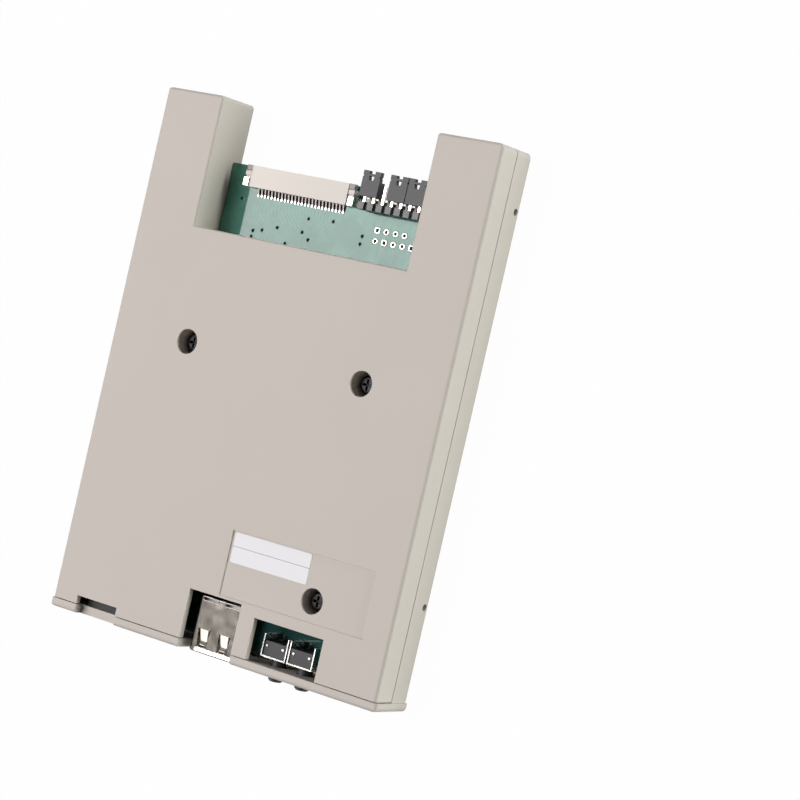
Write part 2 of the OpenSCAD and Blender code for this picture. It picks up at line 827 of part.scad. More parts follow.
// Block with a sunk face for the digits
module display_module() color(black_color) seat() difference() {
    block(
        [display_lo, display_face_y, board_top + display_frame_h],
        [display_hi, display_face_y + display_l, display_top]
    );
    block(
        [display_lo + display_lip, display_face_y - over, board_top + 2 * display_lip],
        [display_hi - display_lip, display_face_y + display_sink, display_top - display_lip]
    );
}

// Rows of bent leads behind the display
module display_leads() color(nickel_color) seat() for (i = [0 : display_leads_n - 1]) {
    x = display_lo + display_lead_end + i * display_lead_step;
    y = display_face_y + display_l;
    top = board_top + display_lead_h;
    along_x(x - display_lead_w / 2, x + display_lead_w / 2) polygon([
        [y, top],
        [y + display_lead_out + display_lead_t, top],
        [y + display_lead_out + display_lead_t, board_top + display_lead_t],
        [y + display_lead_foot, board_top + display_lead_t],
        [y + display_lead_foot, board_top],
        [y + display_lead_out, board_top],
        [y + display_lead_out, top - display_lead_t],
        [y, top - display_lead_t]
    ]);
}

// Housing with its mouth to the rear, a lug at each end and a slot for each contact
module ffc_housing() color(cream_color) seat() difference() {
    union() {
        block([ffc_x - ffc_half, ffc_front, board_top], [ffc_x + ffc_half, board_rear, ffc_top]);
        block(
            [ffc_x - ffc_half - ffc_lug, ffc_front, board_top],
            [ffc_x + ffc_half + ffc_lug, ffc_front + ffc_lug_l, ffc_top - tab_t - skin]
        );
    }
    block(
        [ffc_x - ffc_half + ffc_wall, board_rear - ffc_slot_l, ffc_slot_z],
        [ffc_x + ffc_half - ffc_wall, board_rear + over, ffc_slot_top]
    );
    block(
        [ffc_x - ffc_half - over, board_rear - lock_bar_l - lock_gap, ffc_slot_z],
        [ffc_x + ffc_half + over, board_rear + over, ffc_slot_top]
    );
    for (x = ffc_contact_x()) {
        block(
            [x - ffc_groove_w / 2, ffc_front - over, board_top - over],
            [x + ffc_groove_w / 2, board_rear - ffc_groove_end, ffc_slot_z + skin]
        );
        block(
            [x - ffc_groove_w / 2, ffc_front - over, ffc_slot_z],
            [x + ffc_groove_w / 2, ffc_front + ffc_groove_l, ffc_groove_top]
        );
    }
}

function ffc_contact_x() = [for (i = [0 : ffc_count - 1]) ffc_x + (i - (ffc_count - 1) / 2) * ffc_pitch];

// Contacts that run under the mouth, slope down to the board and end in solder tails
module ffc_contacts() color(gold_color) seat() for (x = ffc_contact_x()) {
    along_x(x - ffc_contact_w / 2, x + ffc_contact_w / 2) polygon([
        [board_rear - ffc_contact_end, ffc_contact_z],
        [board_rear - ffc_contact_end, ffc_contact_z + ffc_contact_t],
        [ffc_front, ffc_contact_z + ffc_contact_t],
        [ffc_front - ffc_slope, board_top + ffc_contact_t],
        [ffc_front - ffc_tail, board_top + ffc_contact_t],
        [ffc_front - ffc_tail, board_top],
        [ffc_front - ffc_slope, board_top],
        [ffc_front, ffc_contact_z]
    ]);
}

// Bar that slides in from the rear and clamps the cable, with an ear at each end to pull it
module ffc_lock_bar() color([0.66, 0.64, 0.62]) seat() {
    block(
        [ffc_x - ffc_half + ffc_wall + lock_gap, lock_tip_y, lock_z],
        [ffc_x + ffc_half - ffc_wall - lock_gap, board_rear, lock_z + lock_t]
    );
    block(
        [ffc_x - ffc_half - lock_ear_w, board_rear - lock_bar_l, lock_z],
        [ffc_x + ffc_half + lock_ear_w, board_rear, lock_z + lock_t]
    );
    for (s = [-1, 1]) {
        x = ffc_x + s * (ffc_half + skin + lock_ear_w / 2);
        block(
            [x - lock_ear_w / 2, board_rear - lock_bar_l, lock_z],
            [x + lock_ear_w / 2, board_rear + skin, lock_ear_top]
        );
    }
}

// Metal tabs folded over the housing's lugs and soldered to the board
module ffc_solder_tabs() color(nickel_color) seat() for (s = [-1, 1]) {
    along_y(tab_y, tab_y + tab_l) polygon([
        [ffc_x + s * tab_lo, ffc_top],
        [ffc_x + s * tab_hi, ffc_top],
        [ffc_x + s * tab_hi, board_top + tab_t],
        [ffc_x + s * (ffc_half + ffc_tab), board_top + tab_t],
        [ffc_x + s * (ffc_half + ffc_tab), board_top],
        [ffc_x + s * (tab_hi - tab_t), board_top],
        [ffc_x + s * (tab_hi - tab_t), ffc_top - tab_t],
        [ffc_x + s * tab_lo, ffc_top - tab_t]
    ]);
}

function column_x(i) = header_x + i * header_pitch;

// One cell of the insulator, eight-sided in front view
function cell(x, z) = let (h = header_pitch / 2, c = header_chamfer) [
    [x - h, z - h + c], [x - h + c, z - h], [x + h - c, z - h], [x + h, z - h + c],
    [x + h, z + h - c], [x + h - c, z + h], [x - h + c, z + h], [x - h, z + h - c]
];

module header_block() color(black_color) seat() difference() {
    for (i = [0 : header_columns - 1]) along_y(header_y, header_back) {
        polygon(cell(column_x(i), row_low_z));
        polygon(cell(column_x(i), row_high_z));
    }
    for (i = [0 : header_columns - 1]) {
        pin_low(column_x(i), skin);
        pin_high(column_x(i), skin);
    }
}

// Pins turn down inside the insulator and stand on the board
module pin_low(x, gap) {
    y = header_back - pin_inset - pin_t;
    h = pin_t / 2 + gap;
    block([x - h, y - gap, row_low_z - h], [x + h, pin_tip + gap, row_low_z + h]);
    block([x - h, y - gap, board_top - gap], [x + h, y + pin_t + gap, row_low_z]);
}

module pin_high(x, gap) {
    y = header_y + pin_inset;
    h = pin_t / 2 + gap;
    block([x - h, y - gap, row_high_z - h], [x + h, pin_tip + gap, row_high_z + h]);
    block([x - h, y - gap, board_top - gap], [x + h, y + pin_t + gap, row_high_z]);
}

module header_pins() color(gold_color) seat() for (i = [0 : header_columns - 1]) {
    pin_low(column_x(i), 0);
    pin_high(column_x(i), 0);
}

// Plan of a cap's grip: a head split by a gap, a narrower neck and shoulders
function grip_plan(x, y) = let (w = cap_w / 2, g = grip_gap_w / 2, n = cap_w / 2 - grip_neck) [
    [x - w, y - grip_l - skin], [x - w, y - grip_head_l - grip_neck_l], [x - n, y - grip_head_l - grip_neck_l / 2],
    [x - w, y - grip_head_l], [x - w, y], [x - g, y], [x - g, y - grip_gap_l],
    [x + g, y - grip_gap_l], [x + g, y], [x + w, y], [x + w, y - grip_head_l],
    [x + n, y - grip_head_l - grip_neck_l / 2], [x + w, y - grip_head_l - grip_neck_l], [x + w, y - grip_l - skin]
];

// Cap that bridges two pins of the upper row, with a thin grip behind its body
module jumper_cap(i) color(black_color) seat() {
    x = column_x(cap_columns[i]) + header_pitch / 2;
    end = cap_y + cap_l;
    top = row_high_z + cap_t / 2;
    difference() {
        union() {
            block([x - cap_w / 2, cap_y, row_high_z - cap_t / 2], [x + cap_w / 2, end - grip_l, top]);
            rise(top - grip_t, top) polygon(grip_plan(x, end));
        }
        block(
            [x - socket_w / 2, cap_y - over, row_high_z - socket_h / 2],
            [x + socket_w / 2, cap_y + socket_l, row_high_z + socket_h / 2]
        );
        rise(top - grip_t - over, top + over) polygon([
            [x - grip_hole_w / 2, end - grip_hole_end],
            [x + grip_hole_w / 2, end - grip_hole_end],
            [x + grip_hole_w / 2 - grip_hole_taper, end - grip_hole_end - grip_hole_l],
            [x - grip_hole_w / 2 + grip_hole_taper, end - grip_hole_end - grip_hole_l]
        ]);
    }
}

// Sprung strip that joins the two pins inside a cap
module jumper_clip(i) color(gold_color) seat() {
    x = column_x(cap_columns[i]) + header_pitch / 2;
    z = row_high_z + pin_t / 2 + clip_gap;
    front = cap_y + clip_front;
    end = cap_y + socket_l - skin;
    block([x - socket_w / 2 + skin, front, z], [x + socket_w / 2 - skin, end, z + clip_t]);
    for (s = [-1, 1]) {
        w = s * (socket_w / 2 - skin - clip_t / 2);
        block(
            [x + w - clip_t / 2, front, row_high_z - socket_h / 2 + skin],
            [x + w + clip_t / 2, end, z + clip_t]
        );
    }
}

module jumper_cap_1() jumper_cap(0);
module jumper_cap_2() jumper_cap(1);
module jumper_cap_3() jumper_cap(2);
module jumper_clip_1() jumper_clip(0);
module jumper_clip_2() jumper_clip(1);
module jumper_clip_3() jumper_clip(2);

// Places of the parts inside the casing, from the board's left edge or the middle, and the bezel joint
mcu_at = [-4, 56];
mcu_w = 7;
mcu_h = 1.4;
mcu_pitch = 0.5;
mcu_leads = 12;
mcu_lead_w = 0.22;
mcu_lead_l = 1;
mcu_lead_h = 0.7;
memory_at = [14, 52];
memory_w = 3.9;
memory_l = 4.9;
memory_h = 1.5;
memory_pitch = 1.27;
memory_lead_n = 4;
memory_lead_w = 0.42;
memory_lead_l = 1.05;
memory_lead_h = 0.8;
regulator_side = 20.3;
regulator_at = [regulator_side - board_half, 26];
regulator_w = 6.5;
regulator_l = 3.5;
regulator_h = 1.6;
regulator_pitch = 2.3;
regulator_lead_w = 0.7;
regulator_tab_w = 3;
regulator_lead_l = 1.7;
regulator_lead_h = 0.8;
crystal_side = 23.3;
crystal_at = [crystal_side - board_half, 50];
crystal_w = 11;
crystal_l = 4.6;
crystal_h = 3.4;
crystal_base_t = 0.4;
crystal_ledge = 0.4;
capacitor_side = 10.3;
capacitor_at = [capacitor_side - board_half, 28];
capacitor_d = 6.3;
capacitor_h = 5.4;
capacitor_base_t = 0.9;
capacitor_ledge = 0.15;
chip_w = 0.8;
chip_l = 1.6;
chip_h = 0.5;
chip_step = 3;
chip_lift = 0.1;
mark_d = 0.6;
mark_inset = 0.8;
mark_depth = 0.1;
gull_t = 0.15;
resistor_spots = [[-12, 66], [14, 40], [12, 14]];
resistor_counts = [6, 3, 2];
resistor_ways = [[1, 0], [0, 1], [1, 0]];
ceramic_spots = [[-12, 46], [-26, 34], [-9, 18]];
ceramic_counts = [5, 3, 2];

// A gull-wing lead that steps down to the board, pointing along +x
module gull_lead(w, reach, h) rotate([90, 0, 0]) translate([0, 0, -w / 2]) linear_extrude(w) polygon([
    [0, h], [reach * 0.45, h], [reach * 0.6, gull_t], [reach, gull_t],
    [reach, 0], [reach * 0.5, 0], [reach * 0.35, h - gull_t], [0, h - gull_t]
]);

module chip_body(at, w, l, h) translate([at[0], at[1], board_top]) difference() {
    translate([-w / 2, -l / 2, chip_lift]) cube([w, l, h - chip_lift]);
    translate([mark_inset - w / 2, mark_inset - l / 2, h - mark_depth]) cylinder(d = mark_d, h = over);
}

module microcontroller() color(black_color) seat() chip_body(mcu_at, mcu_w, mcu_w, mcu_h);
module microcontroller_leads() color(nickel_color) seat() {
    for (a = [0 : 90 : 270], i = [0 : mcu_leads - 1]) translate([mcu_at[0], mcu_at[1], board_top]) {
        rotate(a) translate([mcu_w / 2, (i - (mcu_leads - 1) / 2) * mcu_pitch, 0]) {
            gull_lead(mcu_lead_w, mcu_lead_l, mcu_lead_h);
        }
    }
}

module memory_chip() color(black_color) seat() chip_body(memory_at, memory_w, memory_l, memory_h);
module memory_leads() color(nickel_color) seat() for (a = [0, 180], i = [0 : memory_lead_n - 1]) {
    translate([memory_at[0], memory_at[1], board_top]) rotate(a) {
        translate([memory_w / 2, (i - (memory_lead_n - 1) / 2) * memory_pitch, 0]) {
            gull_lead(memory_lead_w, memory_lead_l, memory_lead_h);
        }
    }
}

module voltage_regulator() color(black_color) seat() {
    chip_body(regulator_at, regulator_w, regulator_l, regulator_h);
}
module regulator_leads() color(nickel_color) seat() translate([regulator_at[0], regulator_at[1], board_top]) {
    for (i = [-1, 0, 1]) rotate(-90) translate([regulator_l / 2, i * regulator_pitch, 0]) {
        gull_lead(regulator_lead_w, regulator_lead_l, regulator_lead_h);
    }
    rotate(90) translate([regulator_l / 2, 0, 0]) {
        gull_lead(regulator_tab_w, regulator_lead_l, regulator_lead_h);
    }
}

// Oval can of the crystal on its base plate
module crystal() color(nickel_color) seat() translate([crystal_at[0], crystal_at[1], board_top]) {
    foot = [crystal_w, crystal_l] / 2;
    can = foot - [crystal_ledge, crystal_ledge];
    linear_extrude(crystal_base_t) polygon(round_rect(-foot, foot, crystal_l / 2.2));
    linear_extrude(crystal_h) polygon(round_rect(-can, can, crystal_l / 2.8));
}

// Surface-mount capacitor: square base and round can
module bulk_capacitor() color(nickel_color) seat() translate([capacitor_at[0], capacitor_at[1], board_top]) {
    w = capacitor_d + 2 * capacitor_ledge;
    translate([-w / 2, -w / 2, 0]) cube([w, w, capacitor_base_t]);
    cylinder(d = capacitor_d, h = capacitor_h);
}

module chip_row(at, count, way) for (i = [0 : count - 1]) {
    p = at + i * chip_step * way;
    translate([p[0] - chip_l / 2, p[1] - chip_w / 2, board_top]) cube([chip_l, chip_w, chip_h]);
}

module chip_resistors() color(black_color) seat() for (i = [0 : 2]) {
    chip_row(resistor_spots[i], resistor_counts[i], resistor_ways[i]);
}

module chip_capacitors() color([0.72, 0.62, 0.48]) seat() for (i = [0 : 2]) {
    chip_row(ceramic_spots[i], ceramic_counts[i], [1, 0]);
}

bottom_shell();
top_shell();
case_screws();
circuit_board();
usb_shell();
usb_insulator();
usb_contacts();
left_switch_body();
right_switch_body();
left_switch_bracket();
right_switch_bracket();
left_switch_terminals();
right_switch_terminals();
left_switch_dome();
right_switch_dome();
left_button();
right_button();
display_module();
display_leads();
ffc_housing();
ffc_contacts();
ffc_lock_bar();
ffc_solder_tabs();
header_block();
header_pins();
jumper_cap_1();
jumper_cap_2();
jumper_cap_3();
jumper_clip_1();
jumper_clip_2();
jumper_clip_3();
microcontroller();
microcontroller_leads();
memory_chip();
memory_leads();
voltage_regulator();
regulator_leads();
crystal();
bulk_capacitor();
chip_resistors();
chip_capacitors();
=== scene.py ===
import math

import bmesh
import bpy
from mathutils import Matrix, Vector


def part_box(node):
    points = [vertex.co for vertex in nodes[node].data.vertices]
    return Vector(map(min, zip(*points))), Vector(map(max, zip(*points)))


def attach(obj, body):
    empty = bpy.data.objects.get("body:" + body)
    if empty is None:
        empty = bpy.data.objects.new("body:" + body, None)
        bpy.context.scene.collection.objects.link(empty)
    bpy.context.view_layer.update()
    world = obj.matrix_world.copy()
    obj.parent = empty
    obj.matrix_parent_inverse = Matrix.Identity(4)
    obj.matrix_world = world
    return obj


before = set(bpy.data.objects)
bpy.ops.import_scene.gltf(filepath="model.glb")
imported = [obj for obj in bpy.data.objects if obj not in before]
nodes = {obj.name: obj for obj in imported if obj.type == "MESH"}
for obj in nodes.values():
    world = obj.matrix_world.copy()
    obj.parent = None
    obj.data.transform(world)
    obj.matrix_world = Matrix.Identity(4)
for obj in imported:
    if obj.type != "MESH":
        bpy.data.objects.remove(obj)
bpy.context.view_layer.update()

MM = 0.001


# Casing: a base shell with the bezel in one piece with it, and a cover with the notches and wells.
# Both are injection-moulded in warm light grey plastic with a fine spark-eroded texture.
# The posts of the base carry the board and take the screws that hold the cover.
class Wire:
    """One output socket of a material's nodes, which takes part in Python sums."""

    def __init__(self, tree, socket=None):
        self.tree = tree
        self.socket = socket

    def node(self, kind, settings, sockets, out=0):
        """A new node: its settings are set first, then the values or links of its sockets."""
        made = self.tree.nodes.new("ShaderNode" + kind)
        for name, value in settings.items():
            setattr(made, name, value)
        for name, value in sockets.items():
            end = next(s for s in made.inputs if s.identifier == name)
            if isinstance(value, Wire):
                self.tree.links.new(value.socket, end)
            else:
                end.default_value = value
        return Wire(self.tree, made.outputs[out])

    def sum(self, operation, first, second=0.0):
        return self.node("Math", {"operation": operation}, {"Value": first, "Value_001": second})

    def __add__(self, other):
        return self.sum("ADD", self, other)

    def __sub__(self, other):
        return self.sum("SUBTRACT", self, other)

    def __rsub__(self, other):
        return self.sum("SUBTRACT", other, self)

    def __mul__(self, other):
        return self.sum("MULTIPLY", self, other)

    def __lt__(self, other):
        return self.sum("LESS_THAN", self, other)

    def __gt__(self, other):
        return self.sum("GREATER_THAN", self, other)

    def __abs__(self):
        return self.sum("ABSOLUTE", self)

    __radd__ = __add__
    __rmul__ = __mul__

    def tint(self, low, high):
        """The colour that lies between two others by this value."""
        low, high = (c if isinstance(c, Wire) else (*c, 1) for c in (low, high))
        sockets = {"Factor_Float": self, "A_Color": low, "B_Color": high}
        return self.node("Mix", {"data_type": "RGBA"}, sockets, 2)

    def noise(self, per_metre, detail):
        return self.node("TexNoise", {}, {"Vector": self, "Scale": per_metre, "Detail": detail})

    def stretched(self, x, y, z):
        sockets = {"Vector": self, "Vector_001": (x, y, z)}
        return self.node("VectorMath", {"operation": "MULTIPLY"}, sockets)

    def part(self, axis):
        return self.node("SeparateXYZ", {}, {"Vector": self}, axis)


def surface(name):
    """A new material, its place in the object's frame, and a way to fill its shader."""
    material = bpy.data.materials.new(name)
    material.use_nodes = True
    tree = material.node_tree
    shader = tree.nodes["Principled BSDF"]
    place = Wire(tree).node("TexCoord", {}, {}, "Object")

    def fill(**looks):
        for socket, value in looks.items():
            end = shader.inputs[socket.replace("_", " ")]
            if isinstance(value, Wire):
                tree.links.new(value.socket, end)
            else:
                end.default_value = value
        return material

    return place, fill


def worn_and_highlit_edges(place, radius):
    """The normal rounded off at edges, and a mask that is 1 along them."""
    soft = place.node("Bevel", {"samples": 4}, {"Radius": radius})
    flat = place.node("NewGeometry", {}, {}, "Normal")
    pair = {"Vector": soft, "Vector_001": flat}
    facing = place.node("VectorMath", {"operation": "DOT_PRODUCT"}, pair, 1)
    return soft, (1 - facing) * 2.5


def moulded(name, colour, pale, rough, grain, painted_edge_shade=0.0):
    """Moulded plastic: a little cloudy in colour, finely grained, paler along its sharp edges from wear
    and as a painted highlight.
    With painted_edge_shade, its upper round edges are painted darker, as shade, where one face turns to
    the next."""
    place, fill = surface(name)
    edge = 0.12 * MM
    cloud = place.noise(55, 3)
    speck = place.noise(grain, 3)
    soft, rim = worn_and_highlit_edges(place, edge)
    dusty = (cloud * 0.6 + speck * 0.4).tint(colour, pale)
    upward = place.node("NewGeometry", {}, {}, "Normal").part("Z")
    # Painted shade: darker where an upward face turns sideways over a round edge.
    turn = (upward > 0) * upward * upward * (1 - upward * upward) * 4
    bump = {"Strength": 0.22, "Distance": 0.03 * MM, "Height": speck, "Normal": soft}
    # Paler sharp edges: partly wear, partly a painted highlight.
    clean = (rim * 0.5).tint(dusty, [min(1, c * 1.18) for c in pale])
    return fill(
        Base_Color=(turn * painted_edge_shade).tint(clean, [c * 0.5 for c in colour]),
        Roughness=rough + speck * 0.16 - rim * 0.08,
        Normal=place.node("Bump", {}, bump),
    )


def dress(material, *names):
    for name in names:
        nodes[name].data.materials.clear()
        nodes[name].data.materials.append(material)


case_grey = (0.627, 0.569, 0.517)
case_pale = (0.676, 0.618, 0.564)
# The case's upper round edges get painted shade.
case_plastic = moulded("case_plastic", case_grey, case_pale, 0.52, 3600, painted_edge_shade=0.28)
dress(case_plastic, "bottom_shell", "top_shell")

# Circuit board: glass-fibre laminate under glossy green solder resist, drilled and tinned.
# Copper tracks run under the resist from the cable connector, tinned rings surround the spare plated
# holes, painted shade darkens the board between the cable contacts' tails, and its front is painted
# darker as shade.
board_low, board_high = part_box("circuit_board")
board_top = board_high.z
resist_dark = (0.076, 0.254, 0.192)
resist_light = (0.098, 0.304, 0.236)
# Painted shade: the colour of the board's front, darker as the shade in the switch window.
resist_in_shade = (0.027, 0.098, 0.088)
shaded_front_length = 18 * MM
laminate = (0.42, 0.40, 0.20)
# Painted shade under the cable connector's front, between its contact tails.
housing_shade_colour = (0.046, 0.031, 0.028)
ribbon_low, ribbon_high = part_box("ffc_contacts")
contact_count = 26
contact_w = 0.34 * MM
contact_pitch = (ribbon_high.x - ribbon_low.x - contact_w) / (contact_count - 1)
first_contact = ribbon_low.x + contact_w / 2
ribbon_mid = (ribbon_low.x + ribbon_high.x) / 2
tail_end = ribbon_low.y
foot_l = 0.45 * MM
housing_shade_l, housing_shade_past = 1.7 * MM, 0.35 * MM
housing_shade_mid = tail_end + foot_l + housing_shade_l / 2
resist_ior = 1.375

place, fill = surface("solder_resist")
pour = place.noise(160, 2)
fibre = place.stretched(1, 0.08, 1).noise(5200, 1) + place.stretched(0.08, 1, 1).noise(5200, 1)
upright = abs(place.node("NewGeometry", {}, {}, "Normal").part("Z"))
cut_edge = upright < 0.5
# Painted shade: the board's front is darker, as in the shaded switch window.
shaded_front = place.part("Y") < board_low.y + shaded_front_length
green = shaded_front.tint(((pour - 0.42) * 6).tint(resist_dark, resist_light), resist_in_shade)
beside = abs(place.part("X") - ribbon_mid) < (ribbon_high.x - ribbon_low.x) / 2 + housing_shade_past
# Painted shade: a brown-black band between the contact tails, under the housing's front.
housing_shade = beside * (abs(place.part("Y") - housing_shade_mid) < housing_shade_l / 2)
bump = {"Strength": 0.03, "Distance": 0.02 * MM, "Height": fibre}
solder_resist = fill(
    Base_Color=cut_edge.tint(housing_shade.tint(green, housing_shade_colour), laminate),
    Roughness=0.045 + fibre * 0.02 + cut_edge * 0.5 + housing_shade * 0.45,
    IOR=resist_ior,
    Normal=place.node("Bump", {}, bump),
)
dress(solder_resist, "circuit_board")


def strip_into(mesh, path, width, low, high):
    """A flat strip along a path in plan, with its corners mitred."""
    rails = []
    for i, point in enumerate(path):
        before = (point - path[i - 1]).normalized() if i else (path[1] - point).normalized()
        after = (path[i + 1] - point).normalized() if i + 1 < len(path) else before
        along = (before + after).normalized()
        reach = width / 2 / max(0.3, along.dot(before))
        side = Vector((-along.y, along.x)) * reach
        left, right = point + side, point - side
        ring = ((left, low), (left, high), (right, high), (right, low))
        rails.append([mesh.verts.new((p.x, p.y, z)) for p, z in ring])
    for first, second in zip(rails, rails[1:]):
        for k in range(4):
            mesh.faces.new((first[k], first[(k + 1) % 4], second[(k + 1) % 4], second[k]))
    mesh.faces.new(rails[0][::-1])
    mesh.faces.new(rails[-1])


def skin(mesh, loops):
    """Faces between loops of equal length, with the last loop joined to the first."""
    for first, second in zip(loops, loops[1:] + loops[:1]):
        for i in range(len(first)):
            k = (i + 1) % len(first)
            mesh.faces.new((first[i], first[k], second[k], second[i]))


def turned_into(mesh, centre, profile, sides, square=False):
    """A ring turned from a closed profile of (radius, height), round or with a square rim."""
    loops = []
    for radius, height in profile:
        loop = []
        for i in range(sides):
            angle = 2 * math.pi * (i + 0.5) / sides
            x, y = math.cos(angle), math.sin(angle)
            stretch = 1 / max(abs(x), abs(y)) if square and radius > profile[0][0] * 1.01 else 1
            spot = Vector((x * stretch * radius, y * stretch * radius, height))
            loop.append(mesh.verts.new(centre + spot))
        loops.append(loop)
    skin(mesh, loops)


def piece(name, mesh, material):
    """Makes a finished piece of a mesh and lets it ride on the case."""
    bmesh.ops.recalc_face_normals(mesh, faces=mesh.faces)
    data = bpy.data.meshes.new(name)
    mesh.to_mesh(data)
    mesh.free()
    made = bpy.data.objects.new(name, data)
    bpy.context.scene.collection.objects.link(made)
    data.materials.append(material)
    for face in data.polygons:
        face.use_smooth = True
    data.set_sharp_from_angle(angle=math.radians(35))
    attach(made, "case")


track_w, track_rise, track_sink = 0.24 * MM, 0.014 * MM, 0.01 * MM
track_start = 0.3 * MM
bend_gap, bend_slope = 1.6 * MM, 0.22
bus_squeeze, bus_shift, bus_l = 0.58, 2 * MM, 30 * MM

tracks = bmesh.new()
for i in range(contact_count):
    x = first_contact + i * contact_pitch
    bend = tail_end - bend_gap - bend_slope * abs(x - ribbon_mid)
    bus = ribbon_mid + (x - ribbon_mid) * bus_squeeze + bus_shift
    path = [
        Vector((x, tail_end + track_start)),
        Vector((x, bend)),
        Vector((bus, bend - abs(bus - x))),
        Vector((bus, tail_end - bus_l)),
    ]
    strip_into(tracks, path, track_w, board_top - track_sink, board_top + track_rise)
header_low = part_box("header_block")[0]
column_count, column_pitch = 7, 2.54 * MM
run_inset, run_l, run_grow = 0.5 * MM, 9.4 * MM, 0.6 * MM
jog_start, jog = 1.2 * MM, 0.77 * MM
for i in range(column_count):
    x = header_low.x + (i + 0.5) * column_pitch - run_inset
    start = header_low.y + track_start
    path = [
        Vector((x, start)),
        Vector((x, start - jog_start)),
        Vector((x - jog, start - jog_start - jog)),
        Vector((x - jog, start - run_l - run_grow * i)),
    ]
    strip_into(tracks, path, track_w, board_top - track_sink, board_top + track_rise)

place, fill = surface("resist_on_copper")
fine = place.noise(2400, 2)
bump = {"Strength": 0.03, "Distance": 0.02 * MM, "Height": fine}
resist_on_copper = fill(
    Base_Color=fine.tint((0.088, 0.252, 0.200), (0.106, 0.284, 0.228)),
    Roughness=0.05 + fine * 0.03,
    IOR=resist_ior,
    Normal=place.node("Bump", {}, bump),
)
piece("board_tracks", tracks, resist_on_copper)


def plated(name, dark, bright, rough, streak, edge=0.06 * MM):
    """Plated metal: rolling streaks along one axis, cloudy tarnish, and edges made brighter by wear and
    as a painted highlight.
    """
    place, fill = surface(name)
    rolled = place.stretched(*streak).noise(2600, 2)
    tarnish = place.noise(420, 3)
    soft, rim = worn_and_highlit_edges(place, edge)
    plate = (rolled * 0.5 + tarnish * 0.5).tint(dark, bright)
    bump = {"Strength": 0.14, "Distance": 0.015 * MM, "Height": rolled, "Normal": soft}
    return fill(
        # Brighter edges: partly wear, partly a painted highlight.
        Base_Color=rim.tint(plate, [min(1, c * 1.15) for c in bright]),
        Metallic=1.0,
        Roughness=rough + tarnish * 0.16 - rim * 0.08,
        Normal=place.node("Bump", {}, bump),
    )


tin = plated("tin", (0.60, 0.59, 0.56), (0.82, 0.81, 0.78), 0.20, (1, 1, 1))
pad_profile = [(0.40, 0.0), (0.42, 0.06), (0.58, 0.10), (0.74, 0.06), (0.80, 0.0)]
pad_shift, pad_inset = 4.02 * MM, 11.85 * MM
pad_start = Vector((header_low.x + pad_shift, board_high.y - pad_inset, board_top))
pad_columns = (5, 4)
square_pads = [(0, 1), (1, 0), (4, 0)]
pads = bmesh.new()
for row, columns in enumerate(pad_columns):
    for column in range(columns):
        spot = pad_start + Vector((column, row, 0)) * column_pitch
        rim = [(r * MM, h * MM) for r, h in pad_profile]
        turned_into(pads, spot, rim, 24, (column, row) in square_pads)
piece("board_pads", pads, tin)

# Via holes: small plated holes that carry a track through the board, covered with resist.
# Each is drilled in the board, has a slightly raised green ring and is plugged with dark resist.
via_spots = [
    (-25.95, 8.1), (-20.65, 15.1), (-18.05, 14.6), (-13.85, 13.3), (-20.75, 16.6), (-10.65, 16.6),
    (1.65, 9.3), (10.45, 11.3), (10.35, 13.2), (-5.45, 9.8), (-6.45, 13.2), (-4.35, 14.7),
]
via_profile = [(0.40, 0.0), (0.41, 0.012), (0.48, 0.014), (0.55, 0.0)]
plug_profile = [(0.02, 0.024), (0.42, 0.020), (0.42, -0.01), (0.38, -0.02), (0.38, -0.30), (0.02, -0.30)]
rings = bmesh.new()
plugs = bmesh.new()
for x, inset in via_spots:
    spot = Vector((x * MM, board_high.y - inset * MM, board_top))
    turned_into(rings, spot, [(r * MM, h * MM) for r, h in via_profile], 18)
    turned_into(plugs, spot, [(r * MM, h * MM) for r, h in plug_profile], 18)
piece("via_rings", rings, resist_on_copper)
place, fill = surface("plug_resist")
grain = place.noise(6000, 2)
plug_resist = fill(
    Base_Color=grain.tint((0.004, 0.014, 0.012), (0.010, 0.030, 0.025)),
    Roughness=0.6 + grain * 0.2,
    Specular_IOR_Level=0.08,
)
piece("via_plugs", plugs, plug_resist)

# USB socket: a shell folded from bright nickel-plated sheet with two spring fingers and a
# rolled lip, a white moulded tongue and four gold-flashed contacts.
# It is soldered to the board's front edge.
nickel_dark = (0.290, 0.265, 0.237)
nickel_bright = (0.465, 0.425, 0.380)
nickel = plated("nickel", nickel_dark, nickel_bright, 0.12, (1, 0.12, 1), edge=0.25 * MM)
gold = plated("gold", (0.62, 0.44, 0.16), (0.83, 0.64, 0.30), 0.22, (1, 0.2, 1))
white_plastic = moulded("white_plastic", (0.76, 0.76, 0.73), (0.84, 0.84, 0.81), 0.38, 4200)
dress(nickel, "usb_shell")
dress(white_plastic, "usb_insulator")
dress(gold, "usb_contacts")

shell_low, shell_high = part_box("usb_shell")
mouth_lift = 0.35 * MM
mouth_low = board_top + mouth_lift
mouth_r = 0.7 * MM
lip_profile = [(-0.16, -0.07), (0.14, 0.155), (0.90, 0.01), (0.90, -0.12), (-0.16, -0.12)]
lip = bmesh.new()
loops = []
for depth, grow in lip_profile:
    loop = []
    for right, above, turn in ((1, 1, 0), (0, 1, 90), (0, 0, 180), (1, 0, 270)):
        x = shell_high.x - mouth_r if right else shell_low.x + mouth_r
        z = shell_high.z - mouth_r if above else mouth_low + mouth_r
        for step in range(6):
            angle = math.radians(turn + 18 * step)
            reach = mouth_r + grow * MM
            across, rise = math.cos(angle) * reach, math.sin(angle) * reach
            loop.append(lip.verts.new((x + across, shell_low.y + depth * MM, z + rise)))
    loops.append(loop)
skin(lip, loops)
lip_dark = (0.42, 0.40, 0.37)
lip_bright = (0.62, 0.59, 0.55)
lip_plate = plated("lip_plate", lip_dark, lip_bright, 0.05, (0.12, 1, 1), edge=0.02 * MM)
piece("usb_lip", lip, lip_plate)

